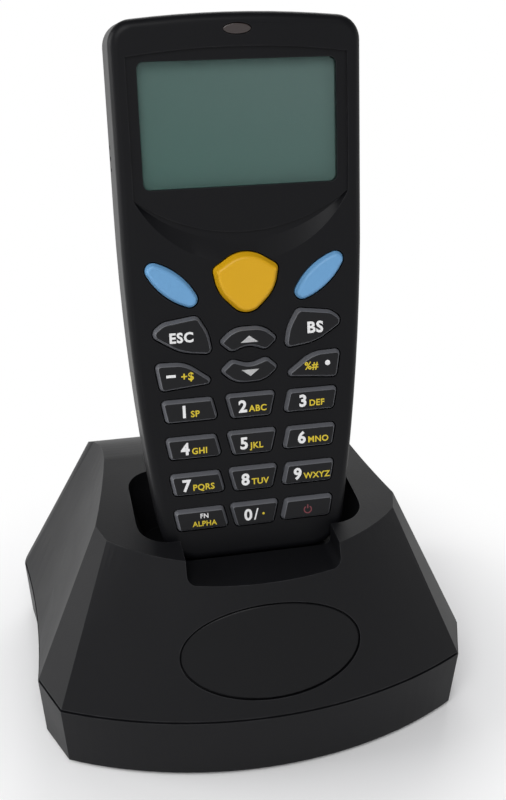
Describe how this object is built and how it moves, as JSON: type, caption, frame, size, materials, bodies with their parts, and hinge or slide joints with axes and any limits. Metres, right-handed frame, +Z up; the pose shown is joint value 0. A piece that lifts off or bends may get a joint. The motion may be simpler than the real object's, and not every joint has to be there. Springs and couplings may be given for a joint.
{
  "type": "portable barcode data terminal in its desktop cradle",
  "caption": "Handheld barcode data terminal with a display and keypad, standing in a desktop charging cradle with a sloped front.",
  "frame": {"origin": "centre of the bounding box on the surface the cradle stands on", "axes": "+Z up, the keypad and the cradle's sloped front face -Y, +X to the right as seen from the front"},
  "size_m": [0.114, 0.0932, 0.1716],
  "materials": {
    "terminal_black": "satin moulded",
    "cradle_black": "fine textured",
    "inlay_black": "satin",
    "inner_black": "moulded",
    "screw_steel": "blackened",
    "display_pane": "clear hard coat",
    "lcd_glass": "satin grey-green",
    "smoked_lens": "smoked",
    "grey_silicone": "matt",
    "key_rubber": "satin coated",
    "scan_yellow": "satin",
    "key_blue": "satin",
    "circuit_board": "solder mask",
    "cell_jacket": "printed jacket, plain",
    "contact_metal": "gold plated",
    "foot_rubber": "matt",
    "ballast_iron": "plain"
  },
  "bodies": {
    "cradle": {"cradle_cover": "cradle_black", "cradle_tray": "cradle_black", "oval_inlay": "inlay_black", "rubber_feet": "foot_rubber", "cradle_screws": "screw_steel", "ballast_plate": "ballast_iron", "cradle_board": "circuit_board", "power_inlet": "inner_black", "data_port": "inner_black", "contact_block": "inner_black", "cradle_infrared_window": "smoked_lens"},
    "terminal": {"front_shell": "terminal_black", "rear_shell": "terminal_black", "shell_screws": "screw_steel", "display_window": "display_pane", "lcd_panel": "lcd_glass", "lcd_frame": "inner_black", "status_lens": "smoked_lens", "keypad_mat": "grey_silicone", "main_board": "circuit_board", "scan_engine": "inner_black", "scan_window": "smoked_lens", "battery_cells": "cell_jacket", "battery_contacts": "contact_metal", "sounder": "inner_black", "charge_contacts": "contact_metal", "infrared_window": "smoked_lens"},
    "battery_door": {"battery_door": "terminal_black"},
    "contact_pins": {"contact_pins": "contact_metal"},
    "scan_key": {"scan_key": "scan_yellow"},
    "left_blue_key": {"left_blue_key": "key_blue"},
    "right_blue_key": {"right_blue_key": "key_blue"},
    "esc_key": {"esc_key": "key_rubber"},
    "backspace_key": {"backspace_key": "key_rubber"},
    "minus_key": {"minus_key": "key_rubber"},
    "symbol_key": {"symbol_key": "key_rubber"},
    "up_key": {"up_key": "key_rubber"},
    "down_key": {"down_key": "key_rubber"},
    "digit_0_key": {"digit_0_key": "key_rubber"},
    "digit_1_key": {"digit_1_key": "key_rubber"},
    "digit_2_key": {"digit_2_key": "key_rubber"},
    "digit_3_key": {"digit_3_key": "key_rubber"},
    "digit_4_key": {"digit_4_key": "key_rubber"},
    "digit_5_key": {"digit_5_key": "key_rubber"},
    "digit_6_key": {"digit_6_key": "key_rubber"},
    "digit_7_key": {"digit_7_key": "key_rubber"},
    "digit_8_key": {"digit_8_key": "key_rubber"},
    "digit_9_key": {"digit_9_key": "key_rubber"},
    "alpha_key": {"alpha_key": "key_rubber"},
    "power_key": {"power_key": "key_rubber"}
  },
  "joints": [
    {"name": "terminal_lift", "type": "slide", "parent": "cradle", "child": "terminal", "axis": [0, 0.1535, 0.9881], "range_m": [0, 0.06]},
    {"name": "battery_door_pull", "type": "slide", "parent": "terminal", "child": "battery_door", "axis": [0, 0.9881, -0.1535], "range_m": [0, 0.015]},
    {"name": "contact_pins_press", "type": "slide", "parent": "cradle", "child": "contact_pins", "axis": [0, -0.1535, -0.9881], "range_m": [0, 0.0012], "stiffness_N_per_m": 300},
    {"name": "scan_key_press", "type": "slide", "parent": "terminal", "child": "scan_key", "axis": [0, 0.9881, -0.1535], "range_m": [0, 0.0008], "stiffness_N_per_m": 300},
    {"name": "left_blue_key_press", "type": "slide", "parent": "terminal", "child": "left_blue_key", "axis": [0, 0.9881, -0.1535], "range_m": [0, 0.0008], "stiffness_N_per_m": 300},
    {"name": "right_blue_key_press", "type": "slide", "parent": "terminal", "child": "right_blue_key", "axis": [0, 0.9881, -0.1535], "range_m": [0, 0.0008], "stiffness_N_per_m": 300},
    {"name": "esc_key_press", "type": "slide", "parent": "terminal", "child": "esc_key", "axis": [0, 0.9881, -0.1535], "range_m": [0, 0.0008], "stiffness_N_per_m": 300},
    {"name": "backspace_key_press", "type": "slide", "parent": "terminal", "child": "backspace_key", "axis": [0, 0.9881, -0.1535], "range_m": [0, 0.0008], "stiffness_N_per_m": 300},
    {"name": "minus_key_press", "type": "slide", "parent": "terminal", "child": "minus_key", "axis": [0, 0.9881, -0.1535], "range_m": [0, 0.0008], "stiffness_N_per_m": 300},
    {"name": "symbol_key_press", "type": "slide", "parent": "terminal", "child": "symbol_key", "axis": [0, 0.9881, -0.1535], "range_m": [0, 0.0008], "stiffness_N_per_m": 300},
    {"name": "up_key_press", "type": "slide", "parent": "terminal", "child": "up_key", "axis": [0, 0.9881, -0.1535], "range_m": [0, 0.0008], "stiffness_N_per_m": 300},
    {"name": "down_key_press", "type": "slide", "parent": "terminal", "child": "down_key", "axis": [0, 0.9881, -0.1535], "range_m": [0, 0.0008], "stiffness_N_per_m": 300},
    {"name": "digit_0_key_press", "type": "slide", "parent": "terminal", "child": "digit_0_key", "axis": [0, 0.9881, -0.1535], "range_m": [0, 0.0008], "stiffness_N_per_m": 300},
    {"name": "digit_1_key_press", "type": "slide", "parent": "terminal", "child": "digit_1_key", "axis": [0, 0.9881, -0.1535], "range_m": [0, 0.0008], "stiffness_N_per_m": 300},
    {"name": "digit_2_key_press", "type": "slide", "parent": "terminal", "child": "digit_2_key", "axis": [0, 0.9881, -0.1535], "range_m": [0, 0.0008], "stiffness_N_per_m": 300},
    {"name": "digit_3_key_press", "type": "slide", "parent": "terminal", "child": "digit_3_key", "axis": [0, 0.9881, -0.1535], "range_m": [0, 0.0008], "stiffness_N_per_m": 300},
    {"name": "digit_4_key_press", "type": "slide", "parent": "terminal", "child": "digit_4_key", "axis": [0, 0.9881, -0.1535], "range_m": [0, 0.0008], "stiffness_N_per_m": 300},
    {"name": "digit_5_key_press", "type": "slide", "parent": "terminal", "child": "digit_5_key", "axis": [0, 0.9881, -0.1535], "range_m": [0, 0.0008], "stiffness_N_per_m": 300},
    {"name": "digit_6_key_press", "type": "slide", "parent": "terminal", "child": "digit_6_key", "axis": [0, 0.9881, -0.1535], "range_m": [0, 0.0008], "stiffness_N_per_m": 300},
    {"name": "digit_7_key_press", "type": "slide", "parent": "terminal", "child": "digit_7_key", "axis": [0, 0.9881, -0.1535], "range_m": [0, 0.0008], "stiffness_N_per_m": 300},
    {"name": "digit_8_key_press", "type": "slide", "parent": "terminal", "child": "digit_8_key", "axis": [0, 0.9881, -0.1535], "range_m": [0, 0.0008], "stiffness_N_per_m": 300},
    {"name": "digit_9_key_press", "type": "slide", "parent": "terminal", "child": "digit_9_key", "axis": [0, 0.9881, -0.1535], "range_m": [0, 0.0008], "stiffness_N_per_m": 300},
    {"name": "alpha_key_press", "type": "slide", "parent": "terminal", "child": "alpha_key", "axis": [0, 0.9881, -0.1535], "range_m": [0, 0.0008], "stiffness_N_per_m": 300},
    {"name": "power_key_press", "type": "slide", "parent": "terminal", "child": "power_key", "axis": [0, 0.9881, -0.1535], "range_m": [0, 0.0008], "stiffness_N_per_m": 300}
  ]
}
